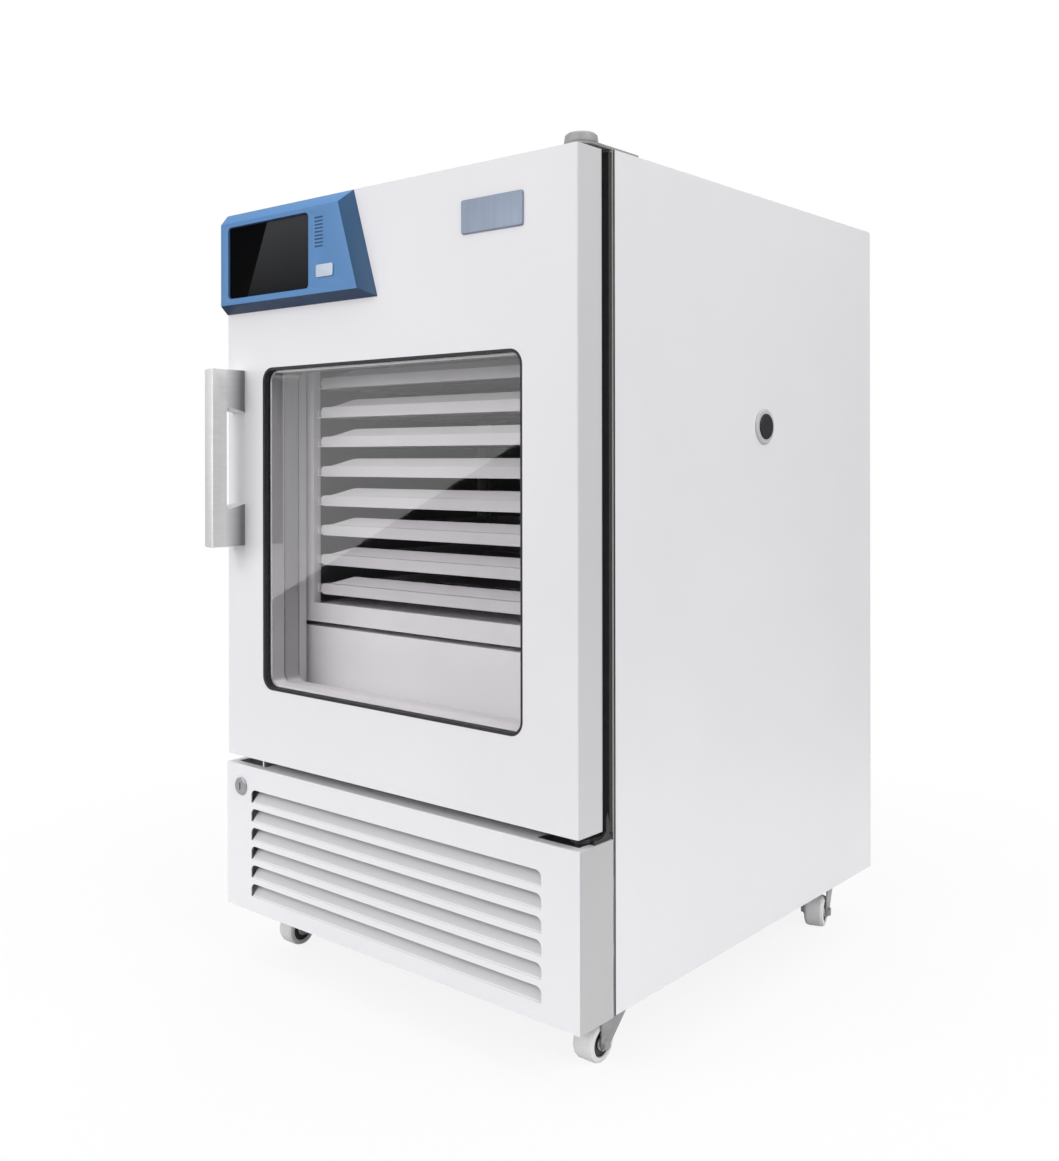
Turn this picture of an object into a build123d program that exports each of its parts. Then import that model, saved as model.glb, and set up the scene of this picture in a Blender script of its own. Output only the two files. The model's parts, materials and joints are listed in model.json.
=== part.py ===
from build123d import *
import math
import os

os.makedirs("parts", exist_ok=True)

# Platelet agitator: an incubator cabinet on casters with a glazed door, and a flatbed
# agitator with eight sliding trays inside it.
# Millimetres, +Z up, floor at z = 0, x to the right. Below, y is counted backwards from the
# front face of the door; save() moves every piece so that the row's origin is the centre of
# the footprint on the floor.

# ---- overall sizes -------------------------------------------------------------------------
DOOR_W = 600.0          # door width
BODY_H = 928.0          # lower panel's bottom edge to door top
DOOR_T = 42.0           # door thickness
SEAL_GAP = 18.0         # door's inner face to cabinet
CAB_DEPTH = 635.0       # cabinet without the door
CASTER_H = 67.5         # floor to lower panel's bottom edge
SIDE_STEP = 2.0         # cabinet is wider than the door on each side
TOP_STEP = 3.0          # cabinet top above door top
SHEET = 1.5             # folded sheet thickness
HANDLE_PROJ = 51.4      # handle in front of the door
INLET_PROJ = 2.5        # inlet flange behind the cabinet

CAB_X = DOOR_W / 2 + SIDE_STEP
DX = DOOR_W / 2
CAB_Y0 = DOOR_T + SEAL_GAP
CAB_Y1 = CAB_Y0 + CAB_DEPTH
CAB_Z0 = CASTER_H + 1.0
DOOR_Z1 = CASTER_H + BODY_H
CAB_Z1 = DOOR_Z1 + TOP_STEP
Y_CENTRE = (CAB_Y1 + INLET_PROJ - HANDLE_PROJ) / 2
INX = CAB_X - SHEET     # inner face of the side sheets
INY = CAB_Y1 - SHEET    # inner face of the rear panel

RUN = 0.05              # radial running clearance of pins and shafts
NEAR = 0.3              # gap between faces of pieces that move past each other

# ---- lower panel ---------------------------------------------------------------------------
LP_H = 191.0            # height of the louvred panel
LP_Z1 = CASTER_H + LP_H
LP_SIDE = CAB_Y0 - 2.0  # depth of its folded sides
LP_FOOT = 40.0          # depth of its folded bottom edge
SLOT_N = 6
SLOT_X = CAB_X - 52.0   # half length of a louvre slot
SLOT_H = 17.2
SLOT_PITCH = 24.8
SLOT_Z0 = CASTER_H + 20.0
SLOT_R = 8.0
BLADE_DEPTH = 14.0
BLADE_T = 1.4
BLADE_FOOT = 0.6 * (SLOT_PITCH - SLOT_H)
POCKET_X0, POCKET_X1 = CAB_X - 68.0, CAB_X - 10.0   # recesses for either hinge hand
POCKET_Y0 = 12.0
LOCK_X, LOCK_Z, LOCK_R = -CAB_X + 31.3, CASTER_H + 162.6, 9.0
LOCK_HEAD_R, LOCK_HEAD_T = 11.5, 3.0

# ---- door ----------------------------------------------------------------------------------
DOOR_Z0 = LP_Z1 + 12.0
HINGE_X, HINGE_Y, PIN_R = DX - 18.0, DOOR_T - 12.0, 5.0
BUSH_R, BUSH_L = 8.0, 16.0
PIN_IN = BUSH_L - 1.0   # how far a hinge pin reaches into its bush
SEAL_W = 3.5            # rubber ring around the glass
SEAL_SET = 0.4          # the ring lies this far behind the door's face
GLASS_T = 4.0
GLASS_Y, GLASS2_Y = 6.0, DOOR_T - 12.0
WIN_X, WIN_R = DX - 75.5, 18.0
WIN_Z0, WIN_Z1 = DOOR_Z0 + 95.0, DOOR_Z1 - 209.0
SPACER_W = 6.5
HANDLE_X0 = -DX + 9.4
HANDLE_W, HANDLE_H = 28.6, 234.0
HANDLE_Z0 = DOOR_Z0 + 281.0
GRIP_T, FOOT_H, GRIP_R = 22.6, 57.0, 4.0

# ---- cabinet inside ------------------------------------------------------------------------
LINER_T = 1.2
WALL = 44.0             # cabinet side to chamber side
FRAME_T = 5.5           # black front frame around the chamber mouth
FRAME_Y0 = CAB_Y0 - FRAME_T
DECK_Z1 = DOOR_Z0 - 4.0
DECK_T = 2.0
BASE_T = 2.0
BASE_TOP = CAB_Z0 + BASE_T
CH_X = CAB_X - WALL     # half width of the chamber
CH_Z0 = DECK_Z1 + 47.0
CH_Z1 = CAB_Z1 - 53.0
CH_Y1 = CAB_Y1 - 55.0
DIKE_X, DIKE_Y1 = CH_X - 8.0, DOOR_T + 14.0    # raised rim of the door's inner panel
DIKE_RISE = 30.0                               # rim around the window hole
GASKET_X0, GASKET_W = CH_X + 4.0, 14.0
UPRIGHT, UPRIGHT_T = 20.0, 2.0

# ---- door hinges ---------------------------------------------------------------------------
HPLATE_T, TOP_PLATE_T = 4.0, 3.0
HPLATE_W = 38.0
HPLATE_X1 = DX
HPLATE_X0 = HPLATE_X1 - HPLATE_W
HPLATE_Y1 = CAB_Y0 + 50.0
NOSE_R = 13.0           # rounded front end of the lower hinge plate
COLLAR_R = PIN_R + 4.0
CAP_R, CAP_TOP_R, CAP_H = 18.6, 17.2, 10.5
NUT_H = 10.0            # nut of the lower hinge pin, in the recess of the lower panel
EAR_T, EAR_H = 3.0, 24.0

# ---- control housing -----------------------------------------------------------------------
HOUS_D = 18.0                       # it stands this far out of the door
HOUS_X0, HOUS_H = -DX, 134.0
HOUS_Z0, HOUS_Z1 = DOOR_Z1 - HOUS_H, DOOR_Z1
HOUS_TOP_W, HOUS_BOTTOM_W = 255.0, 297.0
BEVEL_L, BEVEL_B, BEVEL_T, BEVEL_TR, BEVEL_BR = 10.0, 9.5, 16.0, 9.4, 17.1
HOUS_WALL = 3.0
SCR_X0, SCR_W = HOUS_X0 + 27.0, 162.0
SCR_Z0, SCR_H = HOUS_Z0 + 18.0, 93.0
SCR_R, SCR_RIM = 5.0, 1.4
MARK_X0, MARK_W, MARK_H, MARK_DEEP = HOUS_X0 + 203.0, 15.0, 1.8, 0.8
MARK_Z, MARK_PITCH, MARK_GROUP = HOUS_Z1 - 31.0, 4.5, 13.3
FLAP_X0, FLAP_W = HOUS_X0 + 206.5, 30.9
FLAP_Z0, FLAP_H, FLAP_T = HOUS_Z0 + 29.1, 15.4, 1.2
FLAP_SEAT = 3.0                     # the flap overlaps its hole by this much
BADGE_W, BADGE_H, BADGE_T = 91.0, 38.5, 2.5
BADGE_X1, BADGE_Z0 = DX - 73.0, DOOR_Z1 - 77.5

# ---- agitator ------------------------------------------------------------------------------
AG_FOOT_H, AG_FOOT_R = 6.0, 12.0
AG_X, AG_H = CH_X - 18.0, 121.0
AG_Y0, AG_Y1 = CAB_Y0 + 22.0, CH_Y1 - 170.0
AG_Z0 = CH_Z0 + AG_FOOT_H
AG_Z1 = AG_Z0 + AG_H
STROKE = 19.0           # crank radius, so the carriage moves this far each way
SHAFT_R = 5.0
CAR_X = CH_X - STROKE - 2.4
CAR_Y0, CAR_Y1 = CAB_Y0 + 20.0, AG_Y1 - 30.0
CAR_Z0 = AG_Z1 + 27.0   # underside of the carriage plate
CAR_T = 3.0
RACK_ROOM = 140.0       # rack's top plate to the chamber's ceiling
CAR_Z1 = CH_Z1 - RACK_ROOM - CAR_T
SKIRT_Z0, SKIRT_Z1 = AG_Z1 + 6.5, CAR_Z0 + CAR_T + 2.0
POST_W, POST_D = 19.0, 12.0
ROD_R, ROD_Z = 6.0, AG_Z1 + 15.0
ROD_YS = (AG_Y0 + 48.0, AG_Y1 - 62.0)
ROD_BLOCK = 13.0        # thickness of the blocks that hold the guide rods
BRG_X, BRG_L, BRG_W = AG_X - 90.0, 40.0, 26.0
CRANK_X, CRANK_Y, CRANK_R, CRANK_T = -60.0, (AG_Y0 + AG_Y1) / 2, STROKE + 9.0, 5.0
CRANK_PIN_R, ROD_L, ROD_T, ROD_EYE = 3.0, 120.0, 4.0, 8.0
CRANK_Z0 = AG_Z1 + 3.0
BOSS_GAP = 1.2          # connecting rod to the carriage's boss above it

TRAY_N = 8
TRAY_Z0 = AG_Z1 + 52.5  # mid height of the lowest tray's front rail
TOP_ROOM = 33.7         # mid height of the top tray's rail to the rack's top plate
TRAY_PITCH = (CAR_Z1 - TOP_ROOM - TRAY_Z0) / (TRAY_N - 1)
RAIL_X, RAIL_H, RAIL_D, RAIL_R = CAR_X - POST_W - 21.6, 14.0, 10.0, 6.0
RAIL_Y0 = CAR_Y0 - 5.0
RAIL_Y1 = RAIL_Y0 + RAIL_D
PAN_X, PAN_Y1, PAN_T, PAN_H = RAIL_X - 6.0, CAR_Y1 - 16.0, 1.2, 12.0
PAN_DROP = 5.0          # pan floor below the rail's mid height
TRAY_REST = 0.2         # pan floor above its runners
VENT_COLS, VENT_ROWS, VENT_L, VENT_EDGE = 3, 3, 22.0, 20.0
LIP_RISE, LIP_RUN, LIP_CUT = 10.0, 12.0, 46.0
RUNNER_T, RUNNER_LAP, RUNNER_H = 1.5, 8.0, 9.0

# ---- casters -------------------------------------------------------------------------------
WHEEL_R, WHEEL_W, WHEEL_EDGE, TRAIL = 21.5, 27.0, 4.0, 22.0
DISH_R, DISH_DEEP, HUB_R = 15.5, 4.0, 7.5
CASTER_X = CAB_X - 45.5
CASTER_YS = (CAB_Y0 + 44.0, CAB_Y1 - 74.0)
KING_R, AXLE_R, NUT_R, NUT_OUT = 4.0, 4.0, 6.0, 3.5
CROWN_T, CHEEK_T, CHEEK_GAP = 3.0, 2.0, 1.5
PLATE_A, PLATE_T = 60.0, 3.0
RACE_H, RACE_R, KING_NUT_H = 6.5, 17.0, 3.0
RACE_Z = CAB_Z0 - PLATE_T - RACE_H
# each caster: its name, side (-1 left), row (0 front) and how far it stands turned, in degrees
CASTERS = (("front_left", -1, 0, 0.0), ("front_right", 1, 0, 0.0),
           ("rear_left", -1, 1, 0.0), ("rear_right", 1, 1, 16.0))

# ---- access port on the right side ---------------------------------------------------------
PORT_Y, PORT_Z = CAB_Y0 + 323.0, CH_Z1 - 238.0
PORT_R, PORT_WALL, PORT_FLANGE_R, PORT_FLANGE_T = 16.3, 1.7, 22.5, 3.0
PLUG_CLEAR, PLUG_L, PLUG_OUT = 0.1, 22.0, 2.0

# ---- refrigeration and supply ----------------------------------------------------------------
FAN_SHAFT_R = 4.0
COND_X0, COND_X1 = -INX + 70.5, INX - 270.5
COND_Y0, COND_DEEP, COND_Z1 = CAB_Y0 + 30.0, 46.0, CASTER_H + 172.0
COND_Y1 = COND_Y0 + COND_DEEP
FIN_N, FIN_T, COIL_T = 12, 1.2, 2.0
CFAN_X, CFAN_Z, CFAN_R, CFAN_Y = (COND_X0 + COND_X1) / 2, CASTER_H + 98.0, 58.0, COND_Y1 + 10.0
CFAN_HUB, CFAN_DEEP, CFAN_BLADES = 16.0, 20.0, 5
COMP_X, COMP_Y, COMP_R, COMP_H = INX - 135.5, CAB_Y1 - 135.0, 62.0, 140.0
COMP_FOOT, COMP_FOOT_R, COMP_PLATE = 12.0, 9.0, 3.0
PIPE_R, PIPE_BEND = 4.0, 12.0
EVAP_X, EVAP_H = CH_X - 108.0, 230.0
EVAP_Y0, EVAP_Y1, EVAP_Z1 = CH_Y1 - 52.0, CH_Y1 - 12.0, CH_Z1 - 178.0
DUCT_X, DUCT_Y = CH_X - 8.0, CH_Y1 - 84.0
EFAN_X, EFAN_Z, EFAN_R, EFAN_Y = 0.0, CH_Z1 - 78.0, 46.0, DUCT_Y + 6.0
EFAN_HUB, EFAN_DEEP, EFAN_BLADES = 14.0, 14.0, 5
LED_W, LED_D, LED_END = 29.4, 12.0, 10.0
EBOX_X0, EBOX_L, EBOX_H = -INX + 15.5, 135.0, 70.0
EBOX_Y0, EBOX_Y1 = CAB_Y1 - 225.0, CAB_Y1 - 55.0
INLET_X, INLET_Z = -INX + 100.5, CASTER_H + 110.0
INLET_W, INLET_H, INLET_DEEP = 28.0, 48.0, 22.0


# ---- helpers -------------------------------------------------------------------------------
def box(x0, x1, y0, y1, z0, z1):
    return Pos((x0 + x1) / 2, (y0 + y1) / 2, (z0 + z1) / 2) * Box(x1 - x0, y1 - y0, z1 - z0)


def side_box(s, xa, xb, y0, y1, z0, z1):
    """Box between two distances from the middle, on the right (s = 1) or the left (-1)."""
    return box(min(s * xa, s * xb), max(s * xa, s * xb), y0, y1, z0, z1)


def cyl_z(x, y, z0, z1, r):
    return Pos(x, y, (z0 + z1) / 2) * Cylinder(r, z1 - z0)


def cyl_x(x0, x1, y, z, r):
    return Pos((x0 + x1) / 2, y, z) * Rot(0, 90, 0) * Cylinder(r, x1 - x0)


def cyl_y(x, y0, y1, z, r):
    return Pos(x, (y0 + y1) / 2, z) * Rot(90, 0, 0) * Cylinder(r, y1 - y0)


def hex_z(x, y, z0, z1, r):
    return Pos(x, y, z0) * extrude(RegularPolygon(r, 6), amount=z1 - z0)


def front_plate(points, y0, y1):
    """Polygon given in the front view (x, z), from y0 back to y1."""
    face = make_face(Polyline([(x, y0, z) for x, z in points], close=True))
    return extrude(face, amount=y1 - y0, dir=(0, 1, 0))


def side_plate(points, x0, x1):
    """Polygon given in the side view (y, z), from x0 to x1."""
    face = make_face(Polyline([(x0, y, z) for y, z in points], close=True))
    return extrude(face, amount=x1 - x0, dir=(1, 0, 0))


def round_rect(x0, x1, z0, z1, r, y0, y1):
    """Rectangle with round corners in the front view, from y0 back to y1."""
    body = box(x0, x1, y0, y1, z0, z1)
    return fillet(body.edges().filter_by(Axis.Y), r)


def ring_rect(x, z0, z1, r, w, y0, y1):
    """Round-cornered ring of width w, symmetric about x = 0, outside size x, z0..z1."""
    return round_rect(-x, x, z0, z1, r, y0, y1) - round_rect(
        -x + w, x - w, z0 + w, z1 - w, max(r - w, 1.0), y0 - 1, y1 + 1)


def turned(profile, x, y, z):
    """Solid of revolution about an axle along x: profile is a list of (place on the axle, radius)."""
    face = make_face(Polyline([(a, r, 0) for a, r in profile], close=True))
    return Pos(x, y, z) * revolve(face, Axis.X)


def solids_of(shape):
    if isinstance(shape, (list, tuple, ShapeList)):
        return [solid for item in shape for solid in solids_of(item)]
    return list(shape.solids())


def save(name, shape):
    solids = [Pos(0, -Y_CENTRE, 0) * solid for solid in solids_of(shape)]
    whole = solids[0] if len(solids) == 1 else Compound(children=solids)
    export_step(whole, os.path.join("parts", name + ".step"))


# ---- cabinet -------------------------------------------------------------------------------
def port_hole(x0, x1):
    return cyl_x(x0, x1, PORT_Y, PORT_Z, PORT_R + PORT_WALL)


def outer_shell():
    sides = [side_box(s, INX, CAB_X, CAB_Y0, CAB_Y1, CAB_Z0, CAB_Z1) for s in (-1, 1)]
    sides[1] -= port_hole(INX - 1, CAB_X + 1)
    top = box(-INX, INX, CAB_Y0, CAB_Y1, CAB_Z1 - SHEET, CAB_Z1)
    return sides + [top]


def rear_panel():
    """Rear sheet with the inlet's opening and rows of air slots beside the compressor."""
    rows, cols, row_pitch, slot_h, land = 5, 3, 22.0, 8.0, 20.0
    panel = box(-INX, INX, INY, CAB_Y1, CAB_Z0, CAB_Z1 - SHEET)
    panel -= box(INLET_X - INLET_W / 2, INLET_X + INLET_W / 2, INY - 1, CAB_Y1 + 1,
                 INLET_Z - INLET_H / 2, INLET_Z + INLET_H / 2)
    start, end = INLET_X + INLET_W + 112.0, INX - 60.0
    pitch = (end - start + land) / cols
    for row in range(rows):
        for col in range(cols):
            x0, z0 = start + col * pitch, CASTER_H + 40 + row * row_pitch
            panel -= box(x0, x0 + pitch - land, INY - 1, CAB_Y1 + 1, z0, z0 + slot_h)
    return panel


def inner_liner():
    x, t = CH_X, LINER_T
    sides = [side_box(s, x, x + t, CAB_Y0, CH_Y1, CH_Z0 - t, CH_Z1 + t) for s in (-1, 1)]
    sides[1] -= port_hole(x - 1, x + t + 1)
    top = box(-x, x, CAB_Y0, CH_Y1, CH_Z1, CH_Z1 + t)
    bottom = box(-x, x, CAB_Y0, CH_Y1, CH_Z0 - t, CH_Z0)
    back = box(-x - t, x + t, CH_Y1, CH_Y1 + t, CH_Z0 - t, CH_Z1 + t)
    return sides + [top, bottom, back]


def insulation_foam():
    t = LINER_T
    foam = box(-INX, INX, CAB_Y0, INY, DECK_Z1, CAB_Z1 - SHEET)
    foam -= box(-CH_X - t, CH_X + t, CAB_Y0 - 1, CH_Y1 + t, CH_Z0 - t, CH_Z1 + t)
    return foam - port_hole(CH_X, CAB_X)


def front_frame():
    frame = box(-DX, DX, FRAME_Y0, CAB_Y0, DECK_Z1, DOOR_Z1)
    return frame - box(-CH_X, CH_X, FRAME_Y0 - 1, CAB_Y0 + 1, CH_Z0, CH_Z1)


def angle_post(s, y0, y_web, top):
    """Corner angle between base and deck, its web towards the outside of the row y0."""
    web = side_box(s, INX - UPRIGHT, INX, y_web, y_web + UPRIGHT_T, BASE_TOP, top)
    return web + side_box(s, INX - UPRIGHT_T, INX, y0, y0 + UPRIGHT, BASE_TOP, top)


def chassis():
    """Base plate, deck plate and the corner uprights between them."""
    base = box(-INX, INX, CAB_Y0, INY, CAB_Z0, BASE_TOP)
    deck = box(-INX, INX, CAB_Y0, INY, DECK_Z1 - DECK_T, DECK_Z1)
    under = DECK_Z1 - DECK_T
    out = [base, deck]
    for s in (1, -1):
        out.append(angle_post(s, CAB_Y0, CAB_Y0, under - (HPLATE_T if s > 0 else 0)))
        out.append(angle_post(s, INY - UPRIGHT, INY - UPRIGHT_T, under))
    return out


def louvre_slot(z0):
    slot = box(-SLOT_X, SLOT_X, -1, SHEET + 1, z0, z0 + SLOT_H)
    top_edges = slot.edges().filter_by(Axis.Y).sort_by(Axis.Z)[-2:]
    return fillet(top_edges, min(SLOT_R, SLOT_H * 0.48))


def louvre_blade(z0):
    """Inward-pressed leaf: its foot is under the slot, its far edge stands behind the slot's top."""
    y0, t, side_gap, edge_gap = SHEET, BLADE_T, 1.5, 0.6
    h = SLOT_H - edge_gap
    slope = math.hypot(BLADE_DEPTH, h)
    ny, nz = h / slope * t, -BLADE_DEPTH / slope * t
    pts = [(y0, z0 - BLADE_FOOT), (y0, z0), (y0 + BLADE_DEPTH, z0 + h),
           (y0 + BLADE_DEPTH + ny, z0 + h + nz), (y0 + t, z0 - 0.2), (y0 + t, z0 - BLADE_FOOT)]
    return side_plate(pts, -SLOT_X + side_gap, SLOT_X - side_gap)


def louvre_panel():
    """Folded front cover: front with louvres, sides, bottom edge and a top edge with hinge recesses."""
    x, z0, z1 = CAB_X, CASTER_H, LP_Z1
    shape = side_plate([(0, z0), (LP_FOOT, z0), (LP_FOOT, z0 + SHEET), (SHEET, z0 + SHEET),
                        (SHEET, z1 - SHEET), (LP_SIDE, z1 - SHEET), (LP_SIDE, z1), (0, z1)], -x, x)
    for s in (1, -1):
        shape -= side_box(s, POCKET_X0, POCKET_X1, POCKET_Y0, LP_SIDE + 1, z1 - SHEET - 1, z1 + 1)
    for k in range(SLOT_N):
        shape -= louvre_slot(SLOT_Z0 + k * SLOT_PITCH)
    shape -= cyl_y(LOCK_X, -1, SHEET + 1, LOCK_Z, LOCK_R + RUN)
    for s in (1, -1):
        shape += side_box(s, INX, CAB_X, SHEET, LP_SIDE, z0, z1)
        for z_tab in (z0 + 60, z0 + 130):
            shape += side_box(s, INX - UPRIGHT, INX, LP_SIDE - 16, CAB_Y0, z_tab, z_tab + 20)
    for k in range(SLOT_N):
        shape += louvre_blade(SLOT_Z0 + k * SLOT_PITCH)
    return shape


def lock_cylinder():
    head = cyl_y(LOCK_X, -LOCK_HEAD_T, -NEAR, LOCK_Z, LOCK_HEAD_R)
    head = chamfer(head.edges().filter_by(GeomType.CIRCLE).sort_by(Axis.Y)[0], 0.8)
    body = head + cyl_y(LOCK_X, -NEAR, 24.0, LOCK_Z, LOCK_R)
    body -= box(LOCK_X - 1.1, LOCK_X + 1.1, -LOCK_HEAD_T - 1, 8.0, LOCK_Z - 5.0, LOCK_Z + 5.0)
    return body + box(LOCK_X - 6, LOCK_X + 6, 20.0, 23.0, LOCK_Z - 34.0, LOCK_Z)


def hinge_plate(z0, t, nose_r):
    """Flat strap from the cabinet to the hinge axis, drawn in to a round nose."""
    plate = box(HPLATE_X0, HPLATE_X1, CAB_Y0 - 8, HPLATE_Y1, z0, z0 + t)
    neck = Pos(0, 0, z0) * extrude(make_face(Polyline(
        (HPLATE_X0, CAB_Y0 - 8), (HPLATE_X1, CAB_Y0 - 8), (HINGE_X + nose_r, HINGE_Y),
        (HINGE_X - nose_r, HINGE_Y), close=True)), amount=t)
    return plate + neck + cyl_z(HINGE_X, HINGE_Y, z0, z0 + t, nose_r)


def top_hinge():
    """Strap on the cabinet's top, its pin down into the door and a cap over the pin."""
    z0 = CAB_Z1 + TOP_PLATE_T
    pin = cyl_z(HINGE_X, HINGE_Y, DOOR_Z1 - PIN_IN, CAB_Z1, PIN_R)
    collar = cyl_z(HINGE_X, HINGE_Y, DOOR_Z1 + NEAR, CAB_Z1, COLLAR_R)
    cap = Pos(HINGE_X, HINGE_Y, z0 + CAP_H / 2) * Cone(CAP_R, CAP_TOP_R, CAP_H)
    cap = chamfer(cap.edges().filter_by(GeomType.CIRCLE).sort_by(Axis.Z)[-1], 2.4)
    return hinge_plate(CAB_Z1, TOP_PLATE_T, DX - HINGE_X) + pin + collar + cap


def bottom_hinge():
    """Strap under the door with its pin and nut, and a horn that rises behind the door's edge."""
    z1 = DECK_Z1 - DECK_T
    pin = cyl_z(HINGE_X, HINGE_Y, z1, DOOR_Z0 + PIN_IN, PIN_R)
    collar = cyl_z(HINGE_X, HINGE_Y, z1, DOOR_Z0 - NEAR, COLLAR_R)
    nut = hex_z(HINGE_X, HINGE_Y, z1 - HPLATE_T - NUT_H, z1 - HPLATE_T, COLLAR_R)
    strap = hinge_plate(z1 - HPLATE_T, HPLATE_T, NOSE_R)
    foot_y, foot_z, tip_z = HINGE_Y - 2, LP_Z1 + NEAR, LP_Z1 + NEAR + EAR_H + 6
    inner_y = HINGE_Y + DX - HINGE_X + 0.6      # behind the door's end when it is open at 90 degrees
    under_z = DOOR_Z0 - NEAR - 2
    x0 = HPLATE_X1 - EAR_T
    outline = [Polyline((x0, foot_y, under_z - 4), (x0, foot_y, foot_z), (x0, FRAME_Y0, foot_z),
                        (x0, FRAME_Y0, tip_z - 14)),
               ThreePointArc((x0, FRAME_Y0, tip_z - 14), (x0, FRAME_Y0 - 1.6, tip_z - 6),
                             (x0, inner_y + 2, tip_z)),
               Line((x0, inner_y + 2, tip_z), (x0, inner_y, tip_z - 8)),
               Line((x0, inner_y, tip_z - 8), (x0, inner_y, under_z + 1)),
               ThreePointArc((x0, inner_y, under_z + 1), (x0, inner_y - 4, under_z - 2.6),
                             (x0, foot_y, under_z - 4))]
    horn = extrude(make_face(outline), amount=EAR_T, dir=(1, 0, 0))
    return strap + pin + collar + nut + horn


# ---- casters -------------------------------------------------------------------------------
def king_at(side, row):
    return side * CASTER_X, CASTER_YS[row]


def turned_caster(shape, side, row, turn):
    """Caster piece made with its king pin on the z axis, put in its place and turned."""
    x, y = king_at(side, row)
    return Pos(x, y, 0) * Rot(0, 0, turn) * shape


def caster_plates():
    """Fixed part of each caster: plate, ball race and king pin with its nut."""
    out = []
    crown_z0 = RACE_Z - NEAR - CROWN_T
    for _, side, row, _ in CASTERS:
        x, y = king_at(side, row)
        unit = box(x - PLATE_A / 2, x + PLATE_A / 2, y - PLATE_A / 2, y + PLATE_A / 2,
                   CAB_Z0 - PLATE_T, CAB_Z0)
        unit += cyl_z(x, y, RACE_Z, CAB_Z0 - PLATE_T, RACE_R)
        unit += cyl_z(x, y, crown_z0 - NEAR - KING_NUT_H, RACE_Z, KING_R)
        unit += hex_z(x, y, crown_z0 - NEAR - KING_NUT_H, crown_z0 - NEAR, KING_R + 3)
        out.append(unit)
    return out


def caster_fork():
    """Crown that turns on the king pin, two tapering cheeks and the axle with its nuts."""
    z1, z0 = RACE_Z - NEAR, RACE_Z - NEAR - CROWN_T
    inner = WHEEL_W / 2 + CHEEK_GAP
    outer = inner + CHEEK_T
    back, front, knee = RACE_R, -TRAIL, 9.0
    crown = box(-outer, outer, -RACE_R, back, z0, z1) - cyl_z(0, 0, z0 - 1, z1 + 1, KING_R + RUN)
    axle = cyl_x(-outer - NUT_OUT, outer + NUT_OUT, front, WHEEL_R, AXLE_R)
    for s in (1, -1):
        outline = [(back, z1), (-RACE_R, z1), (-RACE_R - knee, z0 - knee),
                   (front - HUB_R, WHEEL_R + 1), (front - HUB_R + 3, WHEEL_R - HUB_R + 1),
                   (front + HUB_R - 3, WHEEL_R - HUB_R + 1), (back, z0 - knee)]
        a, b = sorted((s * inner, s * outer))
        crown += side_plate(outline, a, b)
        a, b = sorted((s * outer, s * (outer + NUT_OUT)))
        nut = extrude(Plane((a, front, WHEEL_R), z_dir=(1, 0, 0)) * RegularPolygon(NUT_R, 6),
                      amount=b - a)
        axle += nut
    return crown + axle


def caster_wheel():
    """Wheel with rounded treads, a dished face around each hub and the bore of its axle."""
    w, e, d = WHEEL_W / 2, WHEEL_EDGE, DISH_DEEP
    bore = AXLE_R + RUN
    shoulder = e * (1 - math.cos(math.radians(45)))
    half = [(w - e, WHEEL_R), (w - shoulder, WHEEL_R - shoulder), (w, WHEEL_R - e), (w, DISH_R),
            (w - d, DISH_R - 1.6), (w - d, HUB_R), (w, HUB_R), (w, bore)]
    whole = half + [(-a, r) for a, r in reversed(half)]
    return turned(whole, 0, -TRAIL, WHEEL_R)


# ---- refrigeration -------------------------------------------------------------------------
def tube(points, r):
    """Pipe through the points; each right-angled corner is cut off at 45 degrees."""
    points = [Vector(*p) for p in points]
    route = [points[0]]
    for before, corner, after in zip(points, points[1:], points[2:]):
        route.append(corner + (before - corner).normalized() * PIPE_BEND)
        route.append(corner + (after - corner).normalized() * PIPE_BEND)
    path = Polyline(*route, points[-1])
    section = Plane(path @ 0, z_dir=path % 0) * RegularPolygon(r, 8)
    return sweep(section, path=path, transition=Transition.RIGHT)


def compressor():
    """Hermetic can on a footed plate, with a terminal box and the pipe to the condenser."""
    plate_z = BASE_TOP + COMP_FOOT
    body_z = plate_z + COMP_PLATE
    px, py = COMP_R + 13.0, COMP_R - 2.0
    unit = box(COMP_X - px, COMP_X + px, COMP_Y - py, COMP_Y + py, plate_z, body_z)
    body = cyl_z(COMP_X, COMP_Y, body_z, body_z + COMP_H, COMP_R)
    unit += chamfer(body.edges().filter_by(GeomType.CIRCLE).sort_by(Axis.Z)[-1], 20.0)
    for sx in (-1, 1):
        for sy in (-1, 1):
            unit += cyl_z(COMP_X + sx * (px - 13), COMP_Y + sy * (py - 12), BASE_TOP, plate_z,
                          COMP_FOOT_R)
    unit += box(COMP_X - COMP_R - 18, COMP_X - COMP_R + 8, COMP_Y - 25, COMP_Y + 25,
                body_z + 25, body_z + 85)
    z, run_y, run_x = body_z + 105, COMP_Y - 230, COND_X1 + 30
    end_y = COND_Y0 + COND_DEEP / 2
    unit += tube([(COMP_X, COMP_Y - COMP_R + 22, z), (COMP_X, run_y, z), (run_x, run_y, z),
                  (run_x, end_y, z), (COND_X1, end_y, z)], PIPE_R)
    return unit


def fan_mount(x, z, y_plate, y_motor, motor_r, motor_l, reach, shaft_y):
    """Stand-offs, cross plate, motor and shaft behind a fan, which turns on the shaft."""
    cross_t, cross_h, post_r = 3.0, 28.0, 4.0
    out = box(x - reach - post_r, x + reach + post_r, y_motor, y_motor + cross_t,
              z - cross_h / 2, z + cross_h / 2)
    for s in (1, -1):
        out += cyl_y(x + s * reach, y_plate, y_motor, z, post_r)
    out += cyl_y(x, y_motor + cross_t, y_motor + cross_t + motor_l, z, motor_r)
    return out + cyl_y(x, shaft_y, y_motor, z, FAN_SHAFT_R)


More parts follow.
